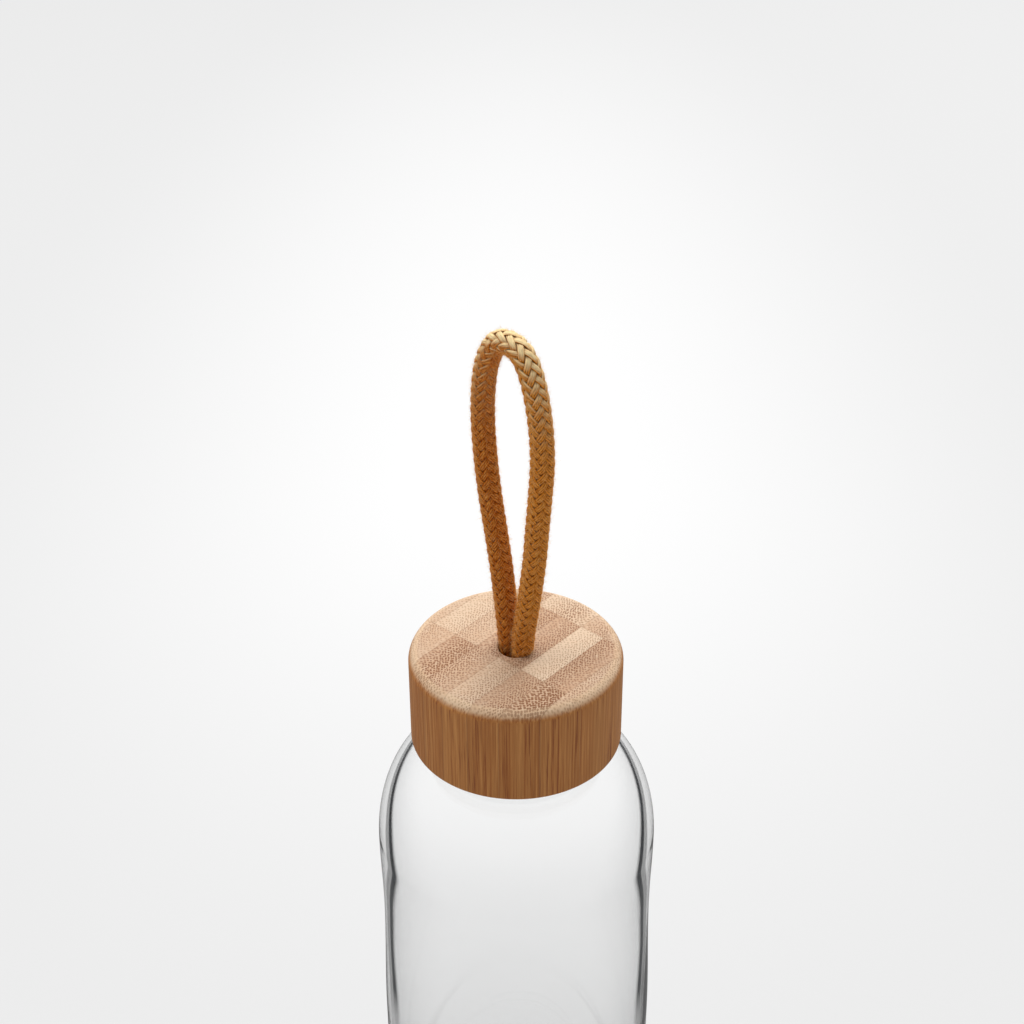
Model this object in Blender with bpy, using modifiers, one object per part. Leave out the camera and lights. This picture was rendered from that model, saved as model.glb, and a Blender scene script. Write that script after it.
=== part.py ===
"""Glass water bottle with a bamboo screw cap and a standing cord loop.

Units are metres and +Z is up. The origin is the centre of the ring that the bottle stands on.
The cap turns and rises along the thread, the cord turns in the cap's hole, and its loop tilts.
"""

import math

import bmesh
import bpy
import numpy as np
from mathutils import Matrix, Vector

MM = 0.001
SEGMENTS = 48  # flats round each turned piece
FIT_GAP = 0.3 * MM  # between pieces that touch

# Heights above the base ring
HEIGHT = 210 * MM
CAP_HEIGHT = 25 * MM
CAP_BOTTOM = HEIGHT - CAP_HEIGHT
LIP_TOP = CAP_BOTTOM + 12 * MM

# Glass
BODY_RADIUS = 34.35 * MM
GLASS_WALL = 2.4 * MM
SHOULDER_WALL = 3.0 * MM
HEEL_RADIUS = 7 * MM
FLOOR_THICKNESS = 5 * MM
PUNT_RADIUS = 21 * MM
PUNT_RISE = 2.5 * MM
SHOULDER_CENTRE = (18.3 * MM, 154.1 * MM)  # radius and height of the rounding's centre
SHOULDER_RISE = 26.9 * MM
SHOULDER_RADIUS = 33.95 * MM
WAIST_RADIUS = 33.55 * MM  # the body is very slightly narrower just under the shoulder
WAIST_HEIGHT = 132.5 * MM
STRAIGHT_TOP = 94 * MM  # the body has its full width from here down
NECK_JOIN = 80  # degrees up the shoulder's rounding, where the neck's fillet starts
NECK_RADIUS = 18.2 * MM
MOUTH_RADIUS = 16 * MM
NECK_FILLET = 2.2 * MM
LIP_ROUND = 0.9 * MM

# Screw thread, right-handed
PITCH = 4 * MM
GLASS_BEAD = 1.2 * MM
LINER_BEAD = 1.0 * MM
THREAD_TURNS = 1.5
THREAD_START = CAP_BOTTOM + 2.6 * MM
BEAD_POINTS = 32  # in each turn
BEAD_FADE = 5  # points over which a bead tapers away at each end
BEAD_TIP = 0.35  # of the bead's full size

# Bamboo cap
CAP_RADIUS = 25 * MM
CAP_EDGE = 3.2 * MM
CAP_CHAMFER = 0.6 * MM
CAP_BORE = 21.6 * MM
CAP_TOP_WALL = 8.5 * MM
CAP_CEILING = HEIGHT - CAP_TOP_WALL
CORD_HOLE = 4 * MM

# Thread liner
LINER_RADIUS = CAP_BORE - FIT_GAP
LINER_THREAD_ROOT = 19.8 * MM
LINER_TOP = CAP_CEILING - FIT_GAP
LINER_ROOF = 1.6 * MM
LINER_BOTTOM = CAP_BOTTOM + FIT_GAP
PLUG_RADIUS = 14.5 * MM
PLUG_WALL = 1.5 * MM
PLUG_BOTTOM = 188 * MM
PLUG_CHAMFER = 1.2 * MM

# Silicone seal
SEAL_INNER = PLUG_RADIUS + 0.4 * MM
SEAL_OUTER = 19.3 * MM
SEAL_ROUND = 0.4 * MM

# Cord. It is squeezed thinner where both legs share the hole.
CORD_RADIUS = 2.7 * MM
SQUEEZED_RADIUS = 2.15 * MM
SQUEEZE_LENGTH = 7 * MM
FOOT_OFFSET = 2.32 * MM
LEG_RADIUS = 1.75 * MM
LEG_OFFSET = 1.9 * MM
LOOP_TURN = math.radians(-46)  # direction of the loop's plane, about Z
LEG_TOP = HEIGHT + FIT_GAP
TILT_HEIGHT = LEG_TOP + FIT_GAP + SQUEEZED_RADIUS
KNOT_RADIUS = 8.5 * MM
KNOT_HEIGHT = 9.6 * MM
KNOT_CENTRE = LINER_TOP - KNOT_HEIGHT / 2
CORD_POINTS = 66

# The loop's route in its own plane: distance to the side, and height above the cap, in millimetres
LOOP_ROUTE_MM = [
    (-2.35, 2.75), (-2.75, 6.5), (-3.6, 13), (-4.8, 21), (-6.4, 29.5), (-8.1, 38), (-9.4, 47), (-10.1, 56),
    (-9.9, 64), (-8.6, 71.5), (-5.6, 77), (-1.5, 78.6), (2.6, 77), (5.6, 71.5), (7.6, 63), (8.3, 54),
    (7.7, 45), (6.8, 35.5), (6.0, 27), (4.8, 18.5), (3.4, 10), (2.65, 6), (2.35, 2.75),
]


def clear_scene():
    for item in list(bpy.data.objects):
        bpy.data.objects.remove(item, do_unlink=True)


def new_collection(name):
    collection = bpy.data.collections.new(name)
    bpy.context.scene.collection.children.link(collection)
    return collection


def new_material(name, colour, roughness, transmission=0.0):
    material = bpy.data.materials.new(name)
    material.use_nodes = True
    shader = material.node_tree.nodes["Principled BSDF"]
    shader.inputs["Base Color"].default_value = (*colour, 1)
    shader.inputs["Roughness"].default_value = roughness
    shader.inputs["Metallic"].default_value = 0.0
    shader.inputs["Transmission Weight"].default_value = transmission
    return material


def new_object(name, mesh, collection, material=None):
    piece = bpy.data.objects.new(name, mesh)
    collection.objects.link(piece)
    if material:
        mesh.materials.append(material)
    return piece


def new_axis(name, height, collection, parent=None):
    """An empty on a joint's axis. The pieces that move with the joint are its children."""
    axis = bpy.data.objects.new(name, None)
    axis.empty_display_size = 5 * MM
    axis.location.z = height
    collection.objects.link(axis)
    if parent:
        attach(axis, parent)
    return axis


def attach(piece, parent):
    """Parents a piece that is placed in world coordinates, and leaves it where it is."""
    bpy.context.view_layer.update()
    piece.parent = parent
    piece.matrix_parent_inverse = parent.matrix_world.inverted()


def smooth(mesh):
    mesh.shade_smooth()
    mesh.set_sharp_from_angle(angle=math.radians(35))


def arc(centre, radii, start, end, steps):
    """Points (radius, height) along part of an ellipse, with the angles in degrees."""
    angles = np.radians(np.linspace(start, end, steps + 1))
    return [(centre[0] + radii[0] * math.cos(a), centre[1] + radii[1] * math.sin(a)) for a in angles]


def turned(name, profile, collection, material, closed=False):
    """A solid of revolution about Z. A profile is (radius, height), going down the outer side."""
    mesh = bpy.data.meshes.new(name)
    edges = [(i, i + 1) for i in range(len(profile) - 1)]
    if closed:
        edges.append((len(profile) - 1, 0))
    mesh.from_pydata([(radius, 0, height) for radius, height in profile], edges, [])
    piece = new_object(name, mesh, collection, material)
    screw = piece.modifiers.new("Turn", "SCREW")
    screw.steps = SEGMENTS
    screw.render_steps = SEGMENTS
    screw.use_merge_vertices = True
    screw.merge_threshold = 0.01 * MM
    screw.use_smooth_shade = True
    return piece


def tube(name, points, radius, scales, sides, collection, material=None):
    """A round tube along a polyline, with flat caps. scales multiply the radius at each point."""
    curve = bpy.data.curves.new(name, "CURVE")
    curve.dimensions = "3D"
    curve.bevel_depth = radius
    curve.bevel_resolution = sides
    curve.use_fill_caps = True
    spline = curve.splines.new("POLY")
    spline.points.add(len(points) - 1)
    for point, place, scale in zip(spline.points, points, scales):
        point.co = (*place, 1)
        point.radius = scale
    spline.use_smooth = True
    return new_object(name, curve, collection, material)


def mesh_of_curve(curve_object, collection):
    """A mesh object in place of a curve object, with the curve's loose caps welded on."""
    bpy.context.view_layer.update()
    graph = bpy.context.evaluated_depsgraph_get()
    mesh = bpy.data.meshes.new_from_object(curve_object.evaluated_get(graph))
    shape = bmesh.new()
    shape.from_mesh(mesh)
    bmesh.ops.remove_doubles(shape, verts=shape.verts, dist=0.001 * MM)
    bmesh.ops.recalc_face_normals(shape, faces=shape.faces)
    shape.to_mesh(mesh)
    shape.free()
    name = curve_object.name
    place = curve_object.matrix_world.copy()
    bpy.data.objects.remove(curve_object, do_unlink=True)
    piece = new_object(name, mesh, collection)
    piece.matrix_world = place
    return piece


def thread_bead(name, radius, bead, start_height, start_angle, cutters):
    """A right-handed screw thread as a round bead that tapers away at both ends."""
    count = int(THREAD_TURNS * BEAD_POINTS)
    points = []
    scales = []
    for i in range(count + 1):
        turn = i / BEAD_POINTS
        angle = start_angle + turn * math.tau
        points.append((radius * math.cos(angle), radius * math.sin(angle), start_height + turn * PITCH))
        scales.append(BEAD_TIP + (1 - BEAD_TIP) * min(1, i / BEAD_FADE, (count - i) / BEAD_FADE))
    bead_curve = tube(name, points, bead, scales, 2, cutters)
    return mesh_of_curve(bead_curve, cutters)


def join_bead(piece, bead):
    bead.hide_render = True
    bead.display_type = "WIRE"
    union = piece.modifiers.new("Thread", "BOOLEAN")
    union.operation = "UNION"
    union.solver = "EXACT"
    union.object = bead


def waisted_side(inset):
    """Points (radius, height) down the side from the shoulder to the straight part, inset by a wall."""
    drop = SHOULDER_CENTRE[1] - WAIST_HEIGHT
    rise = WAIST_HEIGHT - STRAIGHT_TOP
    steps = [(1 - i / 4, drop, SHOULDER_RADIUS) for i in range(1, 5)]
    steps += [(i / 6, -rise, BODY_RADIUS) for i in range(1, 7)]
    points = []
    for share, reach, wide in steps:
        radius = WAIST_RADIUS + (wide - WAIST_RADIUS) * (1 - math.cos(math.pi * share)) / 2
        points.append((radius - inset, WAIST_HEIGHT + reach * share))
    return points


def glass_outline():
    """The glass from the inside floor's centre, over the lip, down the outside and back under the base."""
    inner_radius = BODY_RADIUS - GLASS_WALL
    inner_heel = HEEL_RADIUS - GLASS_WALL / 2
    floor = PUNT_RISE + FLOOR_THICKNESS
    inner_round = (MOUTH_RADIUS + NECK_FILLET, SHOULDER_CENTRE[1])
    inner_size = (SHOULDER_RADIUS - GLASS_WALL - inner_round[0], SHOULDER_RISE - SHOULDER_WALL)
    inner_neck = (inner_round[0], inner_round[1] + inner_size[1] + NECK_FILLET)
    outer_size = (SHOULDER_RADIUS - SHOULDER_CENTRE[0], SHOULDER_RISE)
    shoulder = arc(SHOULDER_CENTRE, outer_size, NECK_JOIN, 0, 11)
    root = shoulder[0]
    outline = [(0, floor)]
    outline += arc((inner_radius - inner_heel, floor + inner_heel), (inner_heel, inner_heel), -90, 0, 5)
    outline += waisted_side(GLASS_WALL)[::-1]
    outline += arc(inner_round, inner_size, 0, 88, 9)
    outline += arc(inner_neck, (NECK_FILLET, NECK_FILLET), 250, 180, 3)
    outline += arc((MOUTH_RADIUS + LIP_ROUND, LIP_TOP - LIP_ROUND), (LIP_ROUND, LIP_ROUND), 180, 90, 3)
    outline += arc((NECK_RADIUS - LIP_ROUND, LIP_TOP - LIP_ROUND), (LIP_ROUND, LIP_ROUND), 90, 0, 3)
    outline += arc((root[0], root[1] + NECK_FILLET), (root[0] - NECK_RADIUS, NECK_FILLET), 180, 262, 4)
    outline += shoulder
    outline += waisted_side(0)
    outline += arc((BODY_RADIUS - HEEL_RADIUS, HEEL_RADIUS), (HEEL_RADIUS, HEEL_RADIUS), 0, -90, 6)
    outline += arc((0, 0), (PUNT_RADIUS, PUNT_RISE), 0, 90, 4)
    return outline


def make_glass(parts, cutters):
    clear = new_material("clear_glass", (0.96, 0.98, 0.98), 0.02, transmission=1.0)
    glass = turned("glass_body", glass_outline(), parts, clear)
    join_bead(glass, thread_bead("glass_thread", NECK_RADIUS, GLASS_BEAD, THREAD_START, 0, cutters))
    return glass


def make_cap(parts):
    bamboo = new_material("bamboo", (0.55, 0.33, 0.16), 0.55)
    edge = (CAP_RADIUS - CAP_EDGE, HEIGHT - CAP_EDGE)
    outline = [(CAP_BORE, CAP_BOTTOM + CAP_CHAMFER), (CAP_BORE, CAP_CEILING)]
    outline += [(CORD_HOLE, CAP_CEILING), (CORD_HOLE, HEIGHT - CAP_CHAMFER)]
    outline += [(CORD_HOLE + CAP_CHAMFER, HEIGHT)]
    outline += arc(edge, (CAP_EDGE, CAP_EDGE), 90, 0, 6)
    outline += [(CAP_RADIUS, CAP_BOTTOM + CAP_CHAMFER), (CAP_RADIUS - CAP_CHAMFER, CAP_BOTTOM)]
    outline += [(CAP_BORE + CAP_CHAMFER, CAP_BOTTOM)]
    return turned("bamboo_cap", outline, parts, bamboo, closed=True)


def make_liner(parts, cutters):
    """The screw liner: a threaded skirt, a roof, and a hollow plug that goes into the neck."""
    plastic = new_material("white_plastic", (0.82, 0.82, 0.8), 0.35)
    pocket = PLUG_RADIUS - PLUG_WALL
    outline = [
        (0, PLUG_BOTTOM + PLUG_WALL),
        (pocket, PLUG_BOTTOM + PLUG_WALL),
        (pocket, LINER_TOP),
        (LINER_RADIUS, LINER_TOP),
        (LINER_RADIUS, LINER_BOTTOM),
        (LINER_THREAD_ROOT, LINER_BOTTOM),
        (LINER_THREAD_ROOT, LINER_TOP - LINER_ROOF),
        (PLUG_RADIUS, LINER_TOP - LINER_ROOF),
        (PLUG_RADIUS, PLUG_BOTTOM + PLUG_CHAMFER),
        (PLUG_RADIUS - PLUG_CHAMFER, PLUG_BOTTOM),
        (0, PLUG_BOTTOM),
    ]
    liner = turned("thread_insert", outline, parts, plastic)
    # The liner's bead starts half a turn round from the glass's, so it lies midway between its turns.
    bead_radius = LINER_THREAD_ROOT + 0.1 * MM
    join_bead(liner, thread_bead("liner_thread", bead_radius, LINER_BEAD, THREAD_START, math.pi, cutters))
    return liner


def make_seal(parts):
    silicone = new_material("silicone", (0.85, 0.86, 0.86), 0.6)
    top = LINER_TOP - LINER_ROOF - FIT_GAP
    bottom = LIP_TOP + FIT_GAP
    outline = [
        (SEAL_INNER, bottom + SEAL_ROUND),
        (SEAL_INNER, top - SEAL_ROUND),
        (SEAL_INNER + SEAL_ROUND, top),
        (SEAL_OUTER - SEAL_ROUND, top),
        (SEAL_OUTER, top - SEAL_ROUND),
        (SEAL_OUTER, bottom + SEAL_ROUND),
        (SEAL_OUTER - SEAL_ROUND, bottom),
        (SEAL_INNER + SEAL_ROUND, bottom),
    ]
    return turned("seal_gasket", outline, parts, silicone, closed=True)


def curve_through(knots, count):
    """Evenly spaced points on a smooth (Catmull-Rom) curve through the knots."""
    knots = np.array(knots, float)
    padded = np.vstack([2 * knots[0] - knots[1], knots, 2 * knots[-1] - knots[-2]])
    fine = []
    for before, start, end, after in zip(padded, padded[1:], padded[2:], padded[3:]):
        for t in np.linspace(0, 1, 20, endpoint=False):
            slope = (end - before) * t + (2 * before - 5 * start + 4 * end - after) * t**2
            fine.append(start + 0.5 * (slope + (3 * start - before - 3 * end + after) * t**3))
    fine = np.array(fine + [knots[-1]])
    along = np.concatenate([[0], np.cumsum(np.linalg.norm(np.diff(fine, axis=0), axis=1))])
    wanted = np.linspace(0, along[-1], count)
    return np.column_stack([np.interp(wanted, along, column) for column in fine.T]), wanted


def in_loop_plane(side, height):
    """The world point at a distance to the side of the bottle's axis, in the plane of the loop."""
    return Matrix.Rotation(LOOP_TURN, 3, "Z") @ Vector((side, 0, height))


def make_loop(parts, material):
    """The standing loop. Each end is rounded about the tilt axis, so that it clears the legs as it tilts."""
    route = [(side * MM, HEIGHT + height * MM) for side, height in LOOP_ROUTE_MM]
    route_points, along = curve_through(route, CORD_POINTS)
    length = along[-1]
    squeezed = SQUEEZED_RADIUS / CORD_RADIUS
    points = [in_loop_plane(side, height) for side, height in route_points]
    scales = []
    for distance in along:
        share = min(1, min(distance, length - distance) / SQUEEZE_LENGTH)
        scales.append(squeezed + (1 - squeezed) * math.sin(share * math.pi / 2))
    for angle in (25, 50, 75):
        drop = Vector((0, 0, -SQUEEZED_RADIUS * math.sin(math.radians(angle))))
        scale = squeezed * math.cos(math.radians(angle))
        points = [in_loop_plane(-FOOT_OFFSET, TILT_HEIGHT) + drop, *points]
        points.append(in_loop_plane(FOOT_OFFSET, TILT_HEIGHT) + drop)
        scales = [scale, *scales, scale]
    return tube("cord_loop", points, CORD_RADIUS, scales, 3, parts, material)


def make_leg(name, side, parts, material):
    points = [in_loop_plane(side, height) for height in np.linspace(CAP_CEILING, LEG_TOP, 4)]
    return tube(name, points, LEG_RADIUS, [1] * len(points), 3, parts, material)


def make_knot(parts, material):
    shape = bmesh.new()
    bmesh.ops.create_uvsphere(shape, u_segments=20, v_segments=12, radius=1)
    bmesh.ops.scale(shape, vec=(KNOT_RADIUS, KNOT_RADIUS, KNOT_HEIGHT / 2), verts=shape.verts)
    mesh = bpy.data.meshes.new("cord_knot")
    shape.to_mesh(mesh)
    shape.free()
    smooth(mesh)
    knot = new_object("cord_knot", mesh, parts, material)
    knot.location.z = KNOT_CENTRE
    return knot


def main():
    clear_scene()
    parts = new_collection("water_bottle")
    cutters = new_collection("cutters")

    make_glass(parts, cutters)

    lift = new_axis("cap_lift_axis", LIP_TOP, parts)
    attach(make_seal(parts), lift)

    turn = new_axis("cap_turn_axis", CAP_BOTTOM, parts, parent=lift)
    attach(make_cap(parts), turn)
    attach(make_liner(parts, cutters), turn)
    attach(bpy.data.objects["liner_thread"], turn)

    cotton = new_material("cotton_cord", (0.5, 0.27, 0.07), 0.9)
    swivel = new_axis("cord_swivel_axis", HEIGHT, parts, parent=turn)
    attach(make_leg("cord_leg_back", -LEG_OFFSET, parts, cotton), swivel)
    attach(make_leg("cord_leg_front", LEG_OFFSET, parts, cotton), swivel)
    attach(make_knot(parts, cotton), swivel)

    tilt = new_axis("loop_tilt_axis", TILT_HEIGHT, parts, parent=swivel)
    tilt.rotation_euler.z = LOOP_TURN
    attach(make_loop(parts, cotton), tilt)


main()
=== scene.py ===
"""The looks of the glass water bottle: clear glass, laminated bamboo, the liner and seal, and a braided cord.

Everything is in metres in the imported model's frame: +Z up, with the origin at the centre of the base ring.
"""

import math

import bmesh
import bpy
import numpy as np
from mathutils import Matrix, Vector


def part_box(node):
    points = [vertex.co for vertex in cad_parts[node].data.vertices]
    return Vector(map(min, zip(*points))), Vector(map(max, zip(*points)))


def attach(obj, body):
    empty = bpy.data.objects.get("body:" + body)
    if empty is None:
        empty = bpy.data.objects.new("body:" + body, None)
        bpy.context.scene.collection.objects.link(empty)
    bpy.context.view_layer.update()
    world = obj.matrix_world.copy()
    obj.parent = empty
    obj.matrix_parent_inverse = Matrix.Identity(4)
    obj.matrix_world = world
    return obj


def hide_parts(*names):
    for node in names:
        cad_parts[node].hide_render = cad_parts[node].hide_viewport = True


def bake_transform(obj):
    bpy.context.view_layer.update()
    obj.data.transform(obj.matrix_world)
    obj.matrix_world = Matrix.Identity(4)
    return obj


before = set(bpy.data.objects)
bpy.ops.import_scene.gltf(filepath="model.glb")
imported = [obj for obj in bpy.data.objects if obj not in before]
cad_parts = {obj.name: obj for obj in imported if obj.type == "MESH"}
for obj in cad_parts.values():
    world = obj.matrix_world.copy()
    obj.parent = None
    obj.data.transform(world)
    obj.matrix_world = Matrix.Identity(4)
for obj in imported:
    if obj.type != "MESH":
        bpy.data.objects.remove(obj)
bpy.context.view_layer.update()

MM = 0.001
TAU = math.tau
SAME = 0.01 * MM  # radii closer than this are the same

# Sizes read from the frame
CAP_LOW, CAP_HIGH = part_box("bamboo_cap")
_, GLASS_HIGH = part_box("glass_body")
LINER_LOW, LINER_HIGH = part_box("thread_insert")
SEAL_LOW, SEAL_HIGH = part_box("seal_gasket")
CAP_TOP = CAP_HIGH.z
CAP_BOTTOM = CAP_LOW.z
CAP_RADIUS = CAP_HIGH.x
BODY_RADIUS = GLASS_HIGH.x
LIP_TOP = GLASS_HIGH.z

# Glass
GLASS_WALL = 2.4 * MM
SHOULDER_WALL = 3.0 * MM
HEEL_RADIUS = 7 * MM
FLOOR_THICKNESS = 5 * MM
PUNT_RADIUS = 21 * MM
PUNT_RISE = 2.5 * MM
SHOULDER_CENTRE = (18.3 * MM, CAP_TOP - 55.9 * MM)
SHOULDER_RISE = 26.9 * MM
SHOULDER_RADIUS = 33.95 * MM
WAIST_RADIUS = 33.55 * MM
WAIST_HEIGHT = CAP_TOP - 77.5 * MM
STRAIGHT_TOP = CAP_TOP - 116 * MM
NECK_JOIN = 80  # degrees up the shoulder's rounding, where the neck's fillet starts
NECK_RADIUS = 18.2 * MM
MOUTH_RADIUS = 16 * MM
NECK_FILLET = 2.2 * MM
LIP_ROUND = 0.9 * MM

# A painted dark line just inside the glass's outline, painted shade that stands in for the dark refraction at
# its edge, by how far the surface turns away from the eye, from 0 to 1
LINE_SHADE = (0.35, 0.74)  # the painted grey shade that leads up to the line
LINE_INNER = (0.66, 0.71)
LINE_SOFTENS = (0.74, 0.755)
LINE_OUTER = (0.79, 0.815)

# Between two heights, how the line moves and how strong it is
SHOULDER_SHIFT = (138 * MM, 167 * MM, -0.073, 0.105)
LOW_SHIFT = (108 * MM, 130 * MM, 0.045, 0.0)
LINE_STRENGTH = (97 * MM, 112 * MM, 0.5, 1.0)

# Screw thread
PITCH = 4 * MM
THREAD_TURNS = 1.5
THREAD_START = CAP_BOTTOM + 2.6 * MM
GLASS_BEAD = 1.2 * MM
LINER_BEAD = 1.0 * MM
BEAD_FADE = 0.16  # turns over which a bead tapers away at each end
BEAD_TIP = 0.35  # of the bead's full size

# Bamboo cap
CAP_EDGE = 3.2 * MM
CAP_CHAMFER = 0.6 * MM
CAP_BORE = 21.6 * MM
BORE_CHAMFER = 0.4 * MM
CAP_CEILING = CAP_TOP - 8.5 * MM
CORD_HOLE = 4 * MM
GRAIN_TURN = math.radians(48.5)  # direction of the laminated strips, about Z
STRIP_LENGTH = 21.6 * MM
STRIP_WIDTH = 6.75 * MM
STRIP_START = (-5.8 * MM, -20.1 * MM)  # a corner where four strips meet
STRIP_COLUMNS = 3
BUNDLE_ALONG = 0.98 * MM  # between bundles of fibre, along the strip
BUNDLE_ACROSS = 0.92 * MM  # and across it
FIBRE_WANDER = 1.1 * MM

# Liner and seal
LINER_THREAD_ROOT = 19.8 * MM
LINER_ROOF = 1.6 * MM
PLUG_RADIUS = 14.5 * MM
PLUG_WALL = 1.5 * MM
PLUG_BOTTOM = CAP_BOTTOM + 3 * MM
SEAL_GAP = 0.4 * MM
EASE = 0.5 * MM  # rounding of the liner's and the seal's edges

# Cord
CORD_RADIUS = 2.7 * MM
LOOP_TURN = math.radians(-46)
LEG_OFFSET = 1.95 * MM
LEG_DEPTH = 2.5 * MM  # of the legs below the hole, down into the knot
LAY = 20 * MM  # along the cord, for one turn of a strand
STRANDS_EACH_WAY = 8
YARNS = 3  # side by side in each strand
YARN_CREST = 0.065 * MM
FIBRE_LENGTH = 1.6 * MM  # of cord, for one unit along a strand's UV map
STRAND_WIDE = 0.74 * MM
STRAND_THICK = 0.42 * MM
STRAND_STEP = 0.42 * MM  # between the rings of points along a strand
BRAID_MIDDLE = 1.93 * MM
WEAVE = 0.36 * MM
WEAVE_SHARPNESS = 1.9
CORE = 1.6 * MM
CORE_SIDES = 12
KNOT_RING = 4.2 * MM
KNOT_TURN = 2.0 * MM
KNOT_SCALE = 0.8  # the cord is pulled tight and thin in the knot
KNOT_STEP = 0.6 * MM

# Loose fibres on the cord
FUZZ_PIECES = 2
FUZZ_HAIRS = 7500  # in each piece
FUZZ_SEED = 11
FUZZ_SIDES = 3
FUZZ_STEPS = 2
FUZZ_ROOT = 0.35 * MM  # below the cord's surface
FUZZ_SHORTEST = 0.1 * MM
FUZZ_LONGEST = 1.1 * MM
LEG_BARE = 10 * MM  # of each end of the cord, down in the hole

# The loop's route in its own plane: distance to the side, and height above the cap, in millimetres
LOOP_ROUTE_MM = [
    (-2.35, 2.75), (-2.75, 6.5), (-3.6, 13), (-4.8, 21), (-6.4, 29.5), (-8.1, 38), (-9.4, 47), (-10.1, 56),
    (-9.9, 64), (-8.6, 71.5), (-5.6, 77), (-1.5, 78.6), (2.6, 77), (5.6, 71.5), (7.6, 63), (8.3, 54),
    (7.7, 45), (6.8, 35.5), (6.0, 27), (4.8, 18.5), (3.4, 10), (2.65, 6), (2.35, 2.75),
]

# Camera, from the cap's top
CAMERA_OFFSET = Vector((-0.75 * MM, -351.3 * MM, 266.6 * MM))
CAMERA_TILT = math.radians(56.85)
CAMERA_ROLL = math.radians(-0.25)
CAMERA_LENS = 66.8
CAMERA_SENSOR = 36


# ---------------------------------------------------------------- meshes


def add_object(name, mesh, material):
    piece = bpy.data.objects.new(name, mesh)
    bpy.context.scene.collection.objects.link(piece)
    mesh.materials.append(material)
    return piece


def mesh_from_arrays(name, points, quads):
    mesh = bpy.data.meshes.new(name)
    mesh.from_pydata([tuple(p) for p in points], [], [tuple(q) for q in quads])
    mesh.update()
    return mesh


def arc(centre, radii, start, end, steps):
    """Points (radius, height) along part of an ellipse, with the angles in degrees."""
    angles = np.radians(np.linspace(start, end, steps + 1))
    return [(centre[0] + radii[0] * math.cos(a), centre[1] + radii[1] * math.sin(a)) for a in angles]


def line(start, end, steps):
    """Points between two (radius, height) points, leaving out both ends."""
    return [tuple(np.array(start) + (np.array(end) - start) * i / steps) for i in range(1, steps)]


def turned(name, profile, material, segments, closed=False, shape=None):
    """A solid of revolution about Z from (radius, height) points that go down its outer side.

    shape moves the radii.
    """
    profile = np.array(profile)
    count = len(profile)
    angles = np.arange(segments) * TAU / segments
    radius = np.repeat(profile[:, 0][None], segments, 0)
    height = np.repeat(profile[:, 1][None], segments, 0)
    if shape:
        radius = shape(radius, angles[:, None], height)
    points = np.stack([radius * np.cos(angles)[:, None], radius * np.sin(angles)[:, None], height], -1)
    index = np.arange(segments * count).reshape(segments, count)
    after = np.roll(index, -1, 0)
    last = count if closed else count - 1
    faces = []
    for i in range(last):
        j = (i + 1) % count
        faces.append(np.stack([index[:, i], index[:, j], after[:, j], after[:, i]], -1))
    mesh = mesh_from_arrays(name, points.reshape(-1, 3), np.concatenate(faces))
    work = bmesh.new()
    work.from_mesh(mesh)
    bmesh.ops.remove_doubles(work, verts=work.verts, dist=0.002 * MM)
    bmesh.ops.recalc_face_normals(work, faces=work.faces)
    work.to_mesh(mesh)
    work.free()
    mesh.shade_smooth()
    mesh.set_sharp_from_angle(angle=math.radians(35))
    return add_object(name, mesh, material)


def thread_height(angles, height, bead, start_angle):
    """How far a right-handed thread's round bead stands out, at angles round the axis and heights."""
    stands = np.zeros(np.broadcast(angles, height).shape)
    for turn in range(math.ceil(THREAD_TURNS) + 1):
        along = ((angles - start_angle) % TAU) / TAU + turn
        centre = THREAD_START + along * PITCH
        taper = np.clip(np.minimum(along, THREAD_TURNS - along) / BEAD_FADE, 0, 1)
        size = bead * (BEAD_TIP + (1 - BEAD_TIP) * taper) * (taper > 0)
        inside = np.clip(size**2 - (height - centre) ** 2, 0, None)
        stands = np.maximum(stands, np.sqrt(inside))
    return stands


# ---------------------------------------------------------------- material helpers


class Nodes:
    """A material's node tree, with short calls that add a node and link what goes into it."""

    def __init__(self, name):
        self.material = bpy.data.materials.new(name)
        self.material.use_nodes = True
        self.tree = self.material.node_tree
        self.shader = self.tree.nodes["Principled BSDF"]

    def link(self, value, socket):
        if isinstance(value, bpy.types.NodeSocket):
            self.tree.links.new(value, socket)
        else:
            socket.default_value = value

    def add(self, kind, inputs=(), **settings):
        node = self.tree.nodes.new(kind)
        for name, value in settings.items():
            setattr(node, name, value)
        for key, value in dict(inputs).items():
            self.link(value, node.inputs[key])
        return node

    def math(self, operation, *values, clamp=False):
        node = self.add("ShaderNodeMath", enumerate(values), operation=operation, use_clamp=clamp)
        return node.outputs[0]

    def vector(self, operation, *values):
        node = self.add("ShaderNodeVectorMath", enumerate(values), operation=operation)
        return node.outputs[0]

    def mix(self, share, first, second):
        node = self.add("ShaderNodeMix", data_type="RGBA")
        self.link(share, node.inputs[0])
        self.link(first, node.inputs[6])
        self.link(second, node.inputs[7])
        return node.outputs[2]

    def smooth_step(self, value, low, high, to_low=0.0, to_high=1.0):
        inputs = {"Value": value, "From Min": low, "From Max": high, "To Min": to_low, "To Max": to_high}
        return self.add("ShaderNodeMapRange", inputs, interpolation_type="SMOOTHSTEP").outputs[0]

    def noise(self, place, scale, detail=2.0, roughness=0.5):
        inputs = {"Vector": place, "Scale": scale, "Detail": detail, "Roughness": roughness}
        return self.add("ShaderNodeTexNoise", inputs).outputs["Fac"]

    def bump(self, height, strength, distance):
        inputs = {"Height": height, "Strength": strength, "Distance": distance}
        return self.add("ShaderNodeBump", inputs).outputs[0]

    def set(self, **values):
        """Sets or links the shader's inputs, named in lower case, and returns the material."""
        for name, value in values.items():
            self.link(value, self.shader.inputs[name.replace("_", " ").title().replace("Ior", "IOR")])
        return self.material


def rgb(red, green, blue):
    return (red, green, blue, 1.0)


# ---------------------------------------------------------------- materials


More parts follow.
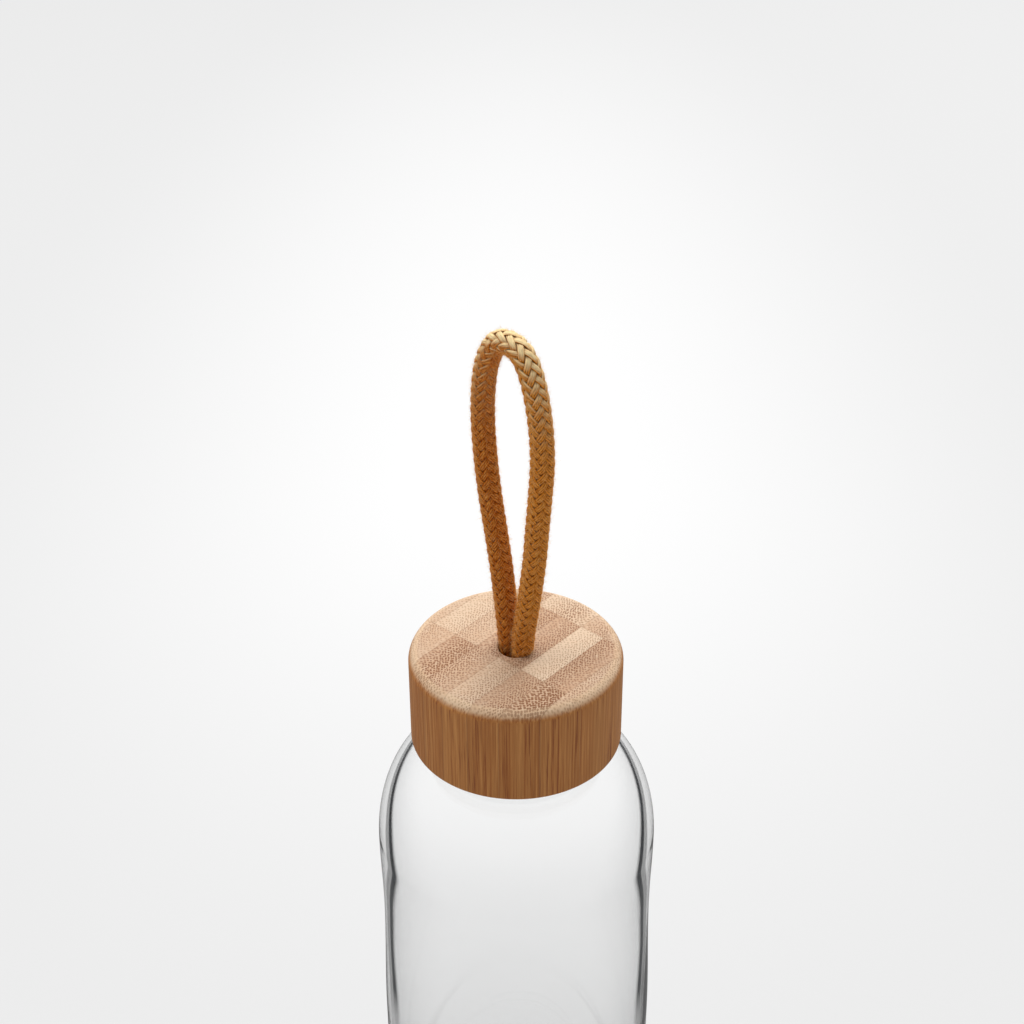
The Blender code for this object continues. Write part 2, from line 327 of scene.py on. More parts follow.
def with_painted_edge_shade(nodes, height, colour):
    """The colour with a painted dark line just inside the glass's outline, which stands in for dark
    refraction at the edge, and the painted grey shade that leads up to it.
    """
    facing = nodes.add("ShaderNodeLayerWeight", {"Blend": 0.5}).outputs["Facing"]
    # The line lies further in on the shoulder, and close to the outline at the waist.
    on_shoulder = nodes.smooth_step(height, *SHOULDER_SHIFT)
    low_down = nodes.smooth_step(height, *LOW_SHIFT)
    across = nodes.math("ADD", facing, nodes.math("ADD", on_shoulder, low_down))
    inner = nodes.smooth_step(across, *LINE_INNER)
    outer = nodes.smooth_step(across, *LINE_OUTER, 1.0, 0.0)
    soft = nodes.smooth_step(across, *LINE_SOFTENS, 1.0, 0.78)
    shade = nodes.math("MULTIPLY", nodes.smooth_step(across, *LINE_SHADE), outer)
    strength = nodes.math("MULTIPLY", nodes.smooth_step(height, *LINE_STRENGTH), soft)
    dark = nodes.math("MULTIPLY", nodes.math("MULTIPLY", inner, outer), strength)
    # Painted grey shade, then the painted dark line, in the glass's tint.
    colour = nodes.mix(nodes.math("MULTIPLY", shade, 0.4), colour, rgb(0.35, 0.355, 0.36))
    return nodes.mix(dark, colour, rgb(0.001, 0.0012, 0.0015))


def glass_material(name, edge):
    """Clear glass, with painted shade that makes it a little greyer low down. edge adds the painted dark line
    inside its outline.
    """
    nodes = Nodes(name)
    place = nodes.add("ShaderNodeTexCoord").outputs["Object"]
    height = nodes.add("ShaderNodeSeparateXYZ", {0: place}).outputs[2]
    # Painted shade: the tint greys towards the bottom.
    low = nodes.smooth_step(height, 10 * MM, 150 * MM, 1.0, 0.0)
    colour = nodes.mix(low, rgb(0.996, 0.997, 0.997), rgb(0.84, 0.843, 0.843))
    if edge:
        colour = with_painted_edge_shade(nodes, height, colour)
    return nodes.set(base_color=colour, roughness=0.0, ior=1.47, transmission_weight=1.0)


# Tone of each strip, from dark to light, row by row from the one nearest the camera, three to a row
STRIP_TONES = [
    0.50, 0.55, 0.50,
    0.40, 0.30, 0.45,
    0.35, 0.95, 0.50,
    0.70, 0.38, 0.85,
    0.42, 0.36, 0.85,
    0.30, 0.62, 0.50,
    0.50, 0.85, 0.60,
    0.60, 0.60, 0.60,
]

# How dark the bundles of fibre show in the same strips
STRIP_BUNDLES = [
    0.65, 0.55, 0.55,
    1.00, 0.70, 0.60,
    0.65, 0.50, 0.60,
    0.55, 0.65, 0.70,
    0.65, 0.70, 0.60,
    0.80, 0.55, 0.65,
    0.50, 0.50, 0.55,
    0.55, 0.55, 0.55,
]


def strip_value(nodes, number, values):
    """The value of the strip with this number."""
    count = len(values)
    place = nodes.math("DIVIDE", nodes.math("ADD", number, 0.5), float(count))
    ramp = nodes.add("ShaderNodeValToRGB", {0: place})
    ramp.color_ramp.interpolation = "CONSTANT"
    stops = ramp.color_ramp.elements
    while len(stops) < count:
        stops.new(1.0)
    for i, value in enumerate(values):
        stops[i].position = i / count
        stops[i].color = rgb(value, value, value)
    return ramp.outputs[0]


def strip_grid(nodes, along, across):
    """The number of the strip at a place, and how far the place is along and across it, from 0 to 1."""
    column = nodes.math("DIVIDE", nodes.math("SUBTRACT", along, STRIP_START[0] - STRIP_LENGTH), STRIP_LENGTH)
    row = nodes.math("DIVIDE", nodes.math("SUBTRACT", across, STRIP_START[1] - STRIP_WIDTH), STRIP_WIDTH)
    rows_before = nodes.math("MULTIPLY", nodes.math("FLOOR", row), float(STRIP_COLUMNS))
    number = nodes.math("ADD", rows_before, nodes.math("FLOOR", column))
    return number, nodes.math("FRACT", column), nodes.math("FRACT", row)


def strip_joints(nodes, in_column, in_row):
    """How much the thin glue joints between the strips show."""
    edge_row = nodes.math("MINIMUM", in_row, nodes.math("SUBTRACT", 1.0, in_row))
    edge_column = nodes.math("MINIMUM", in_column, nodes.math("SUBTRACT", 1.0, in_column))
    joint_row = nodes.smooth_step(edge_row, 0.008, 0.026, 1.0, 0.0)
    joint_column = nodes.smooth_step(edge_column, 0.002, 0.008, 1.0, 0.0)
    return nodes.math("MULTIPLY", nodes.math("MAXIMUM", joint_row, joint_column), 0.25)


def bundle_dots(nodes, number, in_row, fibre_along, wobble):
    """How much the cut ends of the bundles of fibre show.

    Bundles are small and close at the outer side of the stem, larger and further apart inside it. About half
    of the strips have their outer side turned the other way, and each has its own pattern.
    """
    math_ = nodes.math
    bundles = strip_value(nodes, number, STRIP_BUNDLES)
    whole = math_("FLOOR", math_("ADD", number, 0.5))
    chance = nodes.add("ShaderNodeTexWhiteNoise", {"W": whole}, noise_dimensions="1D").outputs["Value"]
    flip = math_("GREATER_THAN", chance, 0.45)
    depth = math_("ABSOLUTE", math_("SUBTRACT", flip, in_row))
    packed = math_("POWER", depth, 1.35)
    sideways = math_("ADD", math_("DIVIDE", fibre_along, BUNDLE_ALONG), math_("MULTIPLY", number, 17.3))
    inwards = math_("MULTIPLY", packed, STRIP_WIDTH / BUNDLE_ACROSS)
    inwards = math_("ADD", inwards, math_("DIVIDE", wobble, BUNDLE_ACROSS))
    corner = {0: math_("ADD", sideways, inwards), 1: math_("SUBTRACT", sideways, inwards)}
    cell = nodes.add("ShaderNodeCombineXYZ", corner).outputs[0]
    inputs = {"Vector": cell, "Scale": 1.0, "Randomness": 0.5}
    bundle = nodes.add("ShaderNodeTexVoronoi", inputs, voronoi_dimensions="2D").outputs["Distance"]
    swell = math_("MULTIPLY", math_("SUBTRACT", bundles, 0.5), 0.28)
    dot = nodes.smooth_step(math_("SUBTRACT", bundle, swell), 0.16, 0.38, 1.0, 0.0)
    strength = math_("MULTIPLY", nodes.smooth_step(depth, 0.0, 1.0, 0.8, 1.7), bundles)
    return math_("MULTIPLY", dot, strength, clamp=True)


def end_grain_colour(nodes, tone, soft, fine, edge_highlight, dots):
    """The cap's top, where the fibres are cut across. Its rounded edge has a paler painted highlight."""
    colour = nodes.mix(tone, rgb(0.41, 0.228, 0.132), rgb(0.66, 0.505, 0.36))
    colour = nodes.mix(nodes.smooth_step(soft, 0.35, 0.7, 0.0, 0.2), colour, rgb(0.52, 0.30, 0.165))
    colour = nodes.mix(nodes.smooth_step(fine, 0.45, 0.75, 0.0, 0.22), colour, rgb(0.84, 0.70, 0.53))
    # Painted highlight on the rounded edge.
    colour = nodes.mix(nodes.math("MULTIPLY", edge_highlight, 0.3), colour, rgb(0.86, 0.62, 0.38))
    return nodes.mix(nodes.math("MULTIPLY", dots, 0.9), colour, rgb(0.20, 0.080, 0.033))


def side_grain_colour(nodes, tone, slow, streak, broad, dots):
    """The cap's side, where the fibres run up and down as streaks in loose groups."""
    grouped = nodes.smooth_step(nodes.noise(slow, 160.0, 1.0), 0.42, 0.60, 0.25, 0.85)
    colour = nodes.mix(tone, rgb(0.36, 0.134, 0.029), rgb(0.54, 0.228, 0.058))
    colour = nodes.mix(nodes.smooth_step(broad, 0.35, 0.7, 0.0, 0.5), colour, rgb(0.44, 0.158, 0.033))
    streaks = nodes.math("MULTIPLY", nodes.smooth_step(streak, 0.54, 0.66), grouped)
    colour = nodes.mix(streaks, colour, rgb(0.22, 0.052, 0.008))
    colour = nodes.mix(nodes.smooth_step(streak, 0.5, 0.34, 0.0, 0.5), colour, rgb(0.66, 0.30, 0.085))
    return nodes.mix(nodes.math("MULTIPLY", dots, 0.45), colour, rgb(0.27, 0.078, 0.016))


def bamboo_material():
    """Laminated bamboo: blocks of strips, with dark bundles of fibre that run along Z."""
    nodes = Nodes("laminated_bamboo")
    add, math_ = nodes.add, nodes.math
    place = add("ShaderNodeTexCoord").outputs["Object"]
    normal = add("ShaderNodeTexCoord").outputs["Normal"]
    up = math_("ABSOLUTE", add("ShaderNodeSeparateXYZ", {0: normal}).outputs[2])
    end_grain = nodes.smooth_step(up, 0.25, 0.75)
    # The rounded edge of the cap's top, which gets a painted highlight.
    edge_highlight = math_("MULTIPLY", nodes.smooth_step(up, 0.3, 0.6), nodes.smooth_step(up, 0.9, 0.99, 1.0, 0.0))

    # Fibres wander a little along Z, so the streaks on the side come and go.
    turn = {"Vector": place, "Angle": -GRAIN_TURN}
    turned_place = add("ShaderNodeVectorRotate", turn, rotation_type="Z_AXIS").outputs[0]
    slow = add("ShaderNodeMapping", {"Vector": turned_place, "Scale": (1, 1, 0.25)}).outputs[0]
    wander = add("ShaderNodeTexNoise", {"Vector": slow, "Scale": 90.0, "Detail": 2.0}).outputs["Color"]
    wander = nodes.vector("SCALE", nodes.vector("SUBTRACT", wander, (0.5, 0.5, 0.5)))
    wander.node.inputs["Scale"].default_value = FIBRE_WANDER
    fibre_place = nodes.vector("ADD", turned_place, wander)
    along, across, _ = add("ShaderNodeSeparateXYZ", {0: turned_place}).outputs
    fibre_along, fibre_across, _ = add("ShaderNodeSeparateXYZ", {0: fibre_place}).outputs

    number, in_column, in_row = strip_grid(nodes, along, across)
    tone = strip_value(nodes, number, STRIP_TONES)
    dots = bundle_dots(nodes, number, in_row, fibre_along, math_("SUBTRACT", fibre_across, across))
    # Fewer dark dots under the painted highlight on the rounded edge.
    dots = math_("MULTIPLY", dots, math_("SUBTRACT", 1.0, math_("MULTIPLY", edge_highlight, 0.35)))

    fine = nodes.noise(place, 900.0, 3.0, 0.6)
    soft = nodes.noise(place, 140.0)
    streak_place = add("ShaderNodeMapping", {"Vector": fibre_place, "Scale": (1, 1, 0.02)}).outputs[0]
    streak = nodes.noise(streak_place, 1900.0, 3.0, 0.65)
    broad = nodes.noise(streak_place, 330.0)

    top = end_grain_colour(nodes, tone, soft, fine, edge_highlight, dots)
    side = side_grain_colour(nodes, tone, slow, streak, broad, dots)
    joint = strip_joints(nodes, in_column, in_row)
    colour = nodes.mix(joint, nodes.mix(end_grain, side, top), rgb(0.20, 0.10, 0.05))

    top_relief = math_("SUBTRACT", math_("MULTIPLY", fine, 0.25), dots)
    side_relief = math_("MULTIPLY", streak, -0.9)
    sides = {0: end_grain, 2: side_relief, 3: top_relief}
    relief = add("ShaderNodeMix", sides, data_type="FLOAT").outputs[0]
    nodes.set(
        base_color=colour,
        roughness=nodes.smooth_step(dots, 0.0, 1.0, 0.46, 0.7),
        normal=nodes.bump(relief, 0.5, 0.08 * MM),
    )
    nodes.shader.inputs["Specular IOR Level"].default_value = 0.3
    return nodes.material


def plastic_material():
    nodes = Nodes("white_liner")
    place = nodes.add("ShaderNodeTexCoord").outputs["Object"]
    cloud = nodes.noise(place, 260.0, 3.0)
    colour = nodes.mix(cloud, rgb(0.78, 0.78, 0.75), rgb(0.86, 0.86, 0.84))
    grain = nodes.noise(place, 2600.0)
    bump = nodes.bump(grain, 0.25, 0.03 * MM)
    return nodes.set(base_color=colour, roughness=nodes.smooth_step(grain, 0.3, 0.7, 0.32, 0.45), normal=bump)


def silicone_material():
    nodes = Nodes("silicone")
    place = nodes.add("ShaderNodeTexCoord").outputs["Object"]
    cloud = nodes.noise(place, 500.0, 3.0)
    colour = nodes.mix(cloud, rgb(0.74, 0.76, 0.76), rgb(0.84, 0.85, 0.85))
    bump = nodes.bump(cloud, 0.3, 0.03 * MM)
    return nodes.set(base_color=colour, roughness=nodes.smooth_step(cloud, 0.3, 0.7, 0.5, 0.62), normal=bump)


def lit_right_side(nodes, body):
    """How much painted light makes a place paler, which is more on the loop's right."""
    side, back, _ = nodes.add("ShaderNodeSeparateXYZ", {0: body}).outputs
    in_plane = nodes.math("MULTIPLY", side, math.cos(LOOP_TURN))
    in_plane = nodes.math("ADD", in_plane, nodes.math("MULTIPLY", back, math.sin(LOOP_TURN)))
    return nodes.smooth_step(in_plane, -4 * MM, 6 * MM, 0.0, 0.45)


def lit_top(nodes, body, lift, fibre):
    """How much painted light from above makes a place paler, which is where the loop's top faces up and the
    strands stand out.
    """
    normal = nodes.add("ShaderNodeTexCoord").outputs["Normal"]
    upward = nodes.add("ShaderNodeSeparateXYZ", {0: normal}).outputs[2]
    height = nodes.add("ShaderNodeSeparateXYZ", {0: body}).outputs[2]
    top_light = nodes.smooth_step(height, CAP_TOP + 52 * MM, CAP_TOP + 78 * MM)
    top_light = nodes.math("MULTIPLY", top_light, nodes.smooth_step(upward, -0.05, 0.7, 0.0, 0.95))
    top_light = nodes.math("MULTIPLY", top_light, nodes.smooth_step(lift, 0.75, 1.0, 0.35, 1.0))
    return nodes.math("MULTIPLY", top_light, nodes.smooth_step(fibre, 0.36, 0.56, 0.7, 1.0))


def cord_material():
    """Cotton yarns side by side in each strand.

    A strand's UV map holds its own coordinates, along and across. Its lift attribute is how far out it is.
    """
    nodes = Nodes("braided_cotton")
    place = nodes.add("ShaderNodeTexCoord").outputs["UV"]
    body = nodes.add("ShaderNodeTexCoord").outputs["Object"]
    lift = nodes.add("ShaderNodeAttribute", attribute_name="lift").outputs["Fac"]
    along, across, _ = nodes.add("ShaderNodeSeparateXYZ", {0: place}).outputs
    yarn = nodes.math("ABSOLUTE", nodes.math("SINE", nodes.math("MULTIPLY", across, YARNS * math.pi)))
    lean = nodes.math("ADD", nodes.math("MULTIPLY", across, 4.0), nodes.math("MULTIPLY", along, 0.8))
    stretched = nodes.add("ShaderNodeCombineXYZ", {0: nodes.math("MULTIPLY", along, 0.9), 1: lean}).outputs[0]
    fibre = nodes.noise(stretched, 2.2, 4.0, 0.7)
    patch = nodes.noise(body, 420.0, 3.0)
    # Where the painted highlight goes: on the crests of the strands, in streaks of fibre.
    crest_highlight = nodes.math("MULTIPLY", nodes.smooth_step(lift, 0.88, 1.02), nodes.smooth_step(fibre, 0.40, 0.62))

    colour = nodes.mix(patch, rgb(0.50, 0.112, 0.005), rgb(0.68, 0.180, 0.010))
    # Painted light: paler on the loop's right.
    colour = nodes.mix(lit_right_side(nodes, body), colour, rgb(0.92, 0.36, 0.045))
    # Painted shade in the creases between the yarns.
    colour = nodes.mix(nodes.smooth_step(yarn, 0.0, 0.6, 0.9, 0.0), colour, rgb(0.16, 0.028, 0.002))
    colour = nodes.mix(nodes.smooth_step(fibre, 0.50, 0.66, 0.0, 0.75), colour, rgb(1.0, 0.42, 0.06))
    colour = nodes.mix(nodes.smooth_step(fibre, 0.48, 0.34, 0.0, 0.7), colour, rgb(0.24, 0.045, 0.002))
    # Painted shade in the gaps between the strands, where they lie deeper.
    colour = nodes.mix(nodes.smooth_step(lift, 0.75, 0.95, 0.88, 0.0), colour, rgb(0.10, 0.020, 0.002))
    # Painted highlight on the crests of the strands.
    colour = nodes.mix(nodes.math("MULTIPLY", crest_highlight, 0.30), colour, rgb(0.95, 0.56, 0.19))
    # Painted light on the loop's top, where it faces up.
    colour = nodes.mix(lit_top(nodes, body, lift, fibre), colour, rgb(1.0, 0.82, 0.46))

    height = nodes.math("ADD", nodes.math("MULTIPLY", yarn, 0.5), nodes.math("MULTIPLY", fibre, 0.8))
    bump = nodes.bump(height, 1.0, 0.2 * MM)
    nodes.set(base_color=colour, roughness=0.9, normal=bump, sheen_weight=0.25, sheen_roughness=0.3)
    nodes.shader.inputs["Sheen Tint"].default_value = rgb(1.0, 0.72, 0.36)
    nodes.shader.inputs["Specular IOR Level"].default_value = 0.08
    return nodes.material


def fuzz_material():
    nodes = Nodes("cotton_fuzz")
    place = nodes.add("ShaderNodeTexCoord").outputs["Object"]
    patch = nodes.noise(place, 700.0)
    colour = nodes.mix(patch, rgb(0.86, 0.46, 0.11), rgb(0.95, 0.66, 0.30))
    return nodes.set(base_color=colour, roughness=0.7, sheen_weight=0.3)


# ---------------------------------------------------------------- glass, cap, liner and seal


def side_radius(height):
    """The body's radius below the shoulder: a slight waist, then straight down."""
    upper = np.clip((height - WAIST_HEIGHT) / (SHOULDER_CENTRE[1] - WAIST_HEIGHT), 0, 1)
    lower = np.clip((WAIST_HEIGHT - height) / (WAIST_HEIGHT - STRAIGHT_TOP), 0, 1)
    radius = WAIST_RADIUS + (SHOULDER_RADIUS - WAIST_RADIUS) * (1 - np.cos(math.pi * upper)) / 2
    return radius + (BODY_RADIUS - WAIST_RADIUS) * (1 - np.cos(math.pi * lower)) / 2


def waisted_side(inset):
    """Points (radius, height) from just under the shoulder to the straight part, inset by a wall."""
    heights = np.linspace(SHOULDER_CENTRE[1], STRAIGHT_TOP, 41)[1:]
    return [(side_radius(height) - inset, height) for height in heights]


def glass_outline():
    """Points (radius, height) from the middle of the floor up the inside, over the lip and down outside."""
    inner_radius = BODY_RADIUS - GLASS_WALL
    inner_heel = HEEL_RADIUS - GLASS_WALL / 2
    floor = PUNT_RISE + FLOOR_THICKNESS
    inner_round = (MOUTH_RADIUS + NECK_FILLET, SHOULDER_CENTRE[1])
    inner_size = (SHOULDER_RADIUS - GLASS_WALL - inner_round[0], SHOULDER_RISE - SHOULDER_WALL)
    inner_neck = (inner_round[0], inner_round[1] + inner_size[1] + NECK_FILLET)
    outer_size = (SHOULDER_RADIUS - SHOULDER_CENTRE[0], SHOULDER_RISE)
    shoulder = arc(SHOULDER_CENTRE, outer_size, NECK_JOIN, 0, 48)
    root = shoulder[0]
    neck_low = (NECK_RADIUS, root[1] + NECK_FILLET)
    neck_high = (NECK_RADIUS, LIP_TOP - LIP_ROUND)
    outline = [(0, floor), *line((0, floor), (inner_radius - inner_heel, floor), 8)]
    outline += arc((inner_radius - inner_heel, floor + inner_heel), (inner_heel, inner_heel), -90, 0, 14)
    outline += line((inner_radius, floor + inner_heel), (inner_radius, STRAIGHT_TOP), 9)
    outline += waisted_side(GLASS_WALL)[::-1]
    outline += arc(inner_round, inner_size, 0, 88, 44)
    outline += arc(inner_neck, (NECK_FILLET, NECK_FILLET), 250, 180, 8)
    outline += line((MOUTH_RADIUS, inner_neck[1]), (MOUTH_RADIUS, LIP_TOP - LIP_ROUND), 4)
    outline += arc((MOUTH_RADIUS + LIP_ROUND, LIP_TOP - LIP_ROUND), (LIP_ROUND, LIP_ROUND), 180, 90, 8)
    outline += arc((NECK_RADIUS - LIP_ROUND, LIP_TOP - LIP_ROUND), (LIP_ROUND, LIP_ROUND), 90, 0, 8)
    outline += line(neck_high, neck_low, 72)
    outline += arc((root[0], neck_low[1]), (root[0] - NECK_RADIUS, NECK_FILLET), 180, 262, 10)
    outline += shoulder
    outline += waisted_side(0)
    outline += line((BODY_RADIUS, STRAIGHT_TOP), (BODY_RADIUS, HEEL_RADIUS), 9)
    outline += arc((BODY_RADIUS - HEEL_RADIUS, HEEL_RADIUS), (HEEL_RADIUS, HEEL_RADIUS), 0, -90, 14)
    outline += arc((0, 0), (PUNT_RADIUS, PUNT_RISE), 0, 90, 14)
    return outline


def glass_shape(radius, angles, height):
    """The thread on the neck's outside, and the slight waves that blowing leaves on the wall's inside."""
    outside_neck = (np.abs(radius - NECK_RADIUS) < SAME) & (height < LIP_TOP - LIP_ROUND)
    bead = thread_height(angles, height, GLASS_BEAD, 0)
    inside_wall = np.abs(radius - (side_radius(height) - GLASS_WALL)) < SAME
    waves = 0.05 * MM * np.sin(3 * angles + 40 * height) + 0.03 * MM * np.sin(5 * angles - 90 * height + 1)
    low, high, fade = 20 * MM, 150 * MM, 20 * MM
    settle = np.clip((height - low) / fade, 0, 1) * np.clip((high - height) / fade, 0, 1)
    return radius + np.where(outside_neck, bead, 0) + np.where(inside_wall, waves * settle, 0)


def make_glass():
    outside = glass_material("glass_outside", True)
    glass = turned("bottle_glass", glass_outline(), outside, 160, shape=glass_shape)
    glass.data.materials.append(glass_material("glass_inside", False))
    for face in glass.data.polygons:
        outwards = face.normal.x * face.center.x + face.normal.y * face.center.y
        face.material_index = int(outwards < 0 or face.center.z < HEEL_RADIUS)
    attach(glass, "bottle")
    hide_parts("glass_body")


def make_cap():
    edge = (CAP_RADIUS - CAP_EDGE, CAP_TOP - CAP_EDGE)
    hole_edge = (CORD_HOLE + CAP_CHAMFER, CAP_TOP - CAP_CHAMFER)
    outline = [(CAP_BORE, CAP_BOTTOM + BORE_CHAMFER)]
    outline += line((CAP_BORE, CAP_BOTTOM), (CAP_BORE, CAP_CEILING), 10)
    outline += [(CAP_BORE, CAP_CEILING), (CORD_HOLE, CAP_CEILING)]
    outline += line((CORD_HOLE, CAP_CEILING), (CORD_HOLE, hole_edge[1]), 5)
    outline += arc(hole_edge, (CAP_CHAMFER, CAP_CHAMFER), 180, 90, 6)
    outline += line((hole_edge[0], CAP_TOP), (edge[0], CAP_TOP), 10)
    outline += arc(edge, (CAP_EDGE, CAP_EDGE), 90, 0, 20)
    outline += line((CAP_RADIUS, edge[1]), (CAP_RADIUS, CAP_BOTTOM + CAP_CHAMFER), 12)
    low_edge = (CAP_RADIUS - CAP_CHAMFER, CAP_BOTTOM + CAP_CHAMFER)
    outline += arc(low_edge, (CAP_CHAMFER, CAP_CHAMFER), 0, -90, 5)
    outline += [(CAP_BORE + BORE_CHAMFER, CAP_BOTTOM)]
    cap = turned("cap_bamboo", outline, bamboo_material(), 192, closed=True)
    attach(cap, "cap")
    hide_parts("bamboo_cap")


def liner_shape(radius, angles, height):
    inside_skirt = np.abs(radius - LINER_THREAD_ROOT) < SAME
    return radius - np.where(inside_skirt, thread_height(angles, height, LINER_BEAD, math.pi), 0)


def make_liner():
    pocket = PLUG_RADIUS - PLUG_WALL
    top = LINER_HIGH.z
    bottom = LINER_LOW.z
    outer = LINER_HIGH.x
    root = LINER_THREAD_ROOT
    roof = top - LINER_ROOF
    plug = 2 * EASE  # rounding of the plug's edges
    half = EASE / 2
    outline = [(0, PLUG_BOTTOM + PLUG_WALL)]
    outline += arc((pocket - plug, PLUG_BOTTOM + PLUG_WALL + plug), (plug, plug), -90, 0, 6)
    outline += [(pocket, top - half), (pocket + half, top)]
    outline += arc((outer - EASE, top - EASE), (EASE, EASE), 90, 0, 5)
    outline += [(outer, bottom + half), (outer - half, bottom), (root + half, bottom), (root, bottom + half)]
    outline += line((root, bottom + half), (root, roof - EASE), 64)
    outline += arc((root - EASE, roof - EASE), (EASE, EASE), 0, 90, 4)
    outline += arc((PLUG_RADIUS + EASE, roof - EASE), (EASE, EASE), 90, 180, 4)
    outline += arc((PLUG_RADIUS - plug, PLUG_BOTTOM + plug), (plug, plug), 0, -90, 8)
    outline += [(0, PLUG_BOTTOM)]
    liner = turned("cap_liner", outline, plastic_material(), 144, shape=liner_shape)
    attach(liner, "cap")
    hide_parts("thread_insert")


def make_seal():
    inner = PLUG_RADIUS + SEAL_GAP + EASE
    outer = SEAL_HIGH.x - EASE
    low = SEAL_LOW.z + EASE
    high = SEAL_HIGH.z - EASE
    outline = []
    for centre, start in (((inner, high), 180), ((outer, high), 90), ((outer, low), 0), ((inner, low), -90)):
        outline += arc(centre, (EASE, EASE), start, start - 90, 6)
    seal = turned("seal_ring", outline, silicone_material(), 144, closed=True)
    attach(seal, "seal")
    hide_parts("seal_gasket")


# ---------------------------------------------------------------- cord


def curve_through(knots, step):
    """Evenly spaced points on a smooth (Catmull-Rom) curve through the knots."""
    knots = np.array(knots, float)
    padded = np.vstack([2 * knots[0] - knots[1], knots, 2 * knots[-1] - knots[-2]])
    fine = []
    for before, start, end, after in zip(padded, padded[1:], padded[2:], padded[3:]):
        for t in np.linspace(0, 1, 20, endpoint=False):
            slope = (end - before) * t + (2 * before - 5 * start + 4 * end - after) * t**2
            fine.append(start + 0.5 * (slope + (3 * start - before - 3 * end + after) * t**3))
    fine = np.array(fine + [knots[-1]])
    along = np.concatenate([[0], np.cumsum(np.linalg.norm(np.diff(fine, axis=0), axis=1))])
    wanted = np.linspace(0, along[-1], max(8, round(along[-1] / step)))
    return np.stack([np.interp(wanted, along, column) for column in fine.T], -1), wanted


def loop_route():
    """The loop's centreline in the row frame, from the bottom of one leg in the hole to that of the other."""
    deep = CAP_CEILING - LEG_DEPTH
    side = [(s * MM, CAP_TOP + h * MM) for s, h in LOOP_ROUTE_MM]
    down = [(-LEG_OFFSET, deep), (-LEG_OFFSET, CAP_TOP - 4 * MM)]
    up = [(LEG_OFFSET, CAP_TOP - 4 * MM), (LEG_OFFSET, deep)]
    flat, along = curve_through(down + side + up, 0.4 * MM)
    turn = np.array([math.cos(LOOP_TURN), math.sin(LOOP_TURN)])
    return np.column_stack([flat[:, :1] * turn, flat[:, 1]]), along


def cord_frames(route):
    """For each point of a route: its direction, and two directions across it that don't twist."""
    ahead = np.gradient(route, axis=0)
    ahead /= np.linalg.norm(ahead, axis=1)[:, None]
    across = np.empty_like(route)
    first = np.cross(ahead[0], (0.31, 0.9, 0.2))
    across[0] = first / np.linalg.norm(first)
    for i in range(1, len(route)):
        step = across[i - 1] - ahead[i] * (across[i - 1] @ ahead[i])
        across[i] = step / np.linalg.norm(step)
    return ahead, across, np.cross(ahead, across)


def sample(route, along, where):
    return np.stack([np.interp(where, along, column) for column in route.T], -1)


def over_under(angle):
    """From -1, under the crossing strands, to 1, over them. Each strand goes over two and under two."""
    wave = np.sin(STRANDS_EACH_WAY / 2 * angle + math.pi / 4)
    return np.tanh(WEAVE_SHARPNESS * wave) / math.tanh(WEAVE_SHARPNESS)


def strand_section():
    """A strand's cross-section: places across it from -1 to 1, and heights, with yarns on its outer face."""
    outer = np.linspace(-1, 1, 2 * YARNS + 1)
    crest = np.where(np.arange(2 * YARNS + 1) % 2, 1.0, -1.0)
    bulge = STRAND_THICK * np.sqrt(np.clip(1 - 0.92 * outer**2, 0, 1)) + YARN_CREST * crest
    inner = np.array([0.6, 0, -0.6])
    return np.concatenate([outer, inner]), np.concatenate([bulge, np.full(3, -0.8 * STRAND_THICK)])


def swept(path, wide, thick, section, offset):
    """Points and faces of a section carried along a path. wide and thick are the section's two directions."""
    across, out = (places[None, :, None] for places in section)
    rings = path[:, None] + wide[:, None] * across + thick[:, None] * out
    n, m = rings.shape[:2]
    index = offset + np.arange(n * m).reshape(n, m)
    after = np.roll(index, -1, 1)
    faces = np.stack([index[:-1], index[1:], after[1:], after[:-1]], -1).reshape(-1, 4)
    return rings.reshape(-1, 3), faces


def unit(vectors):
    return vectors / np.linalg.norm(vectors, axis=1)[:, None]


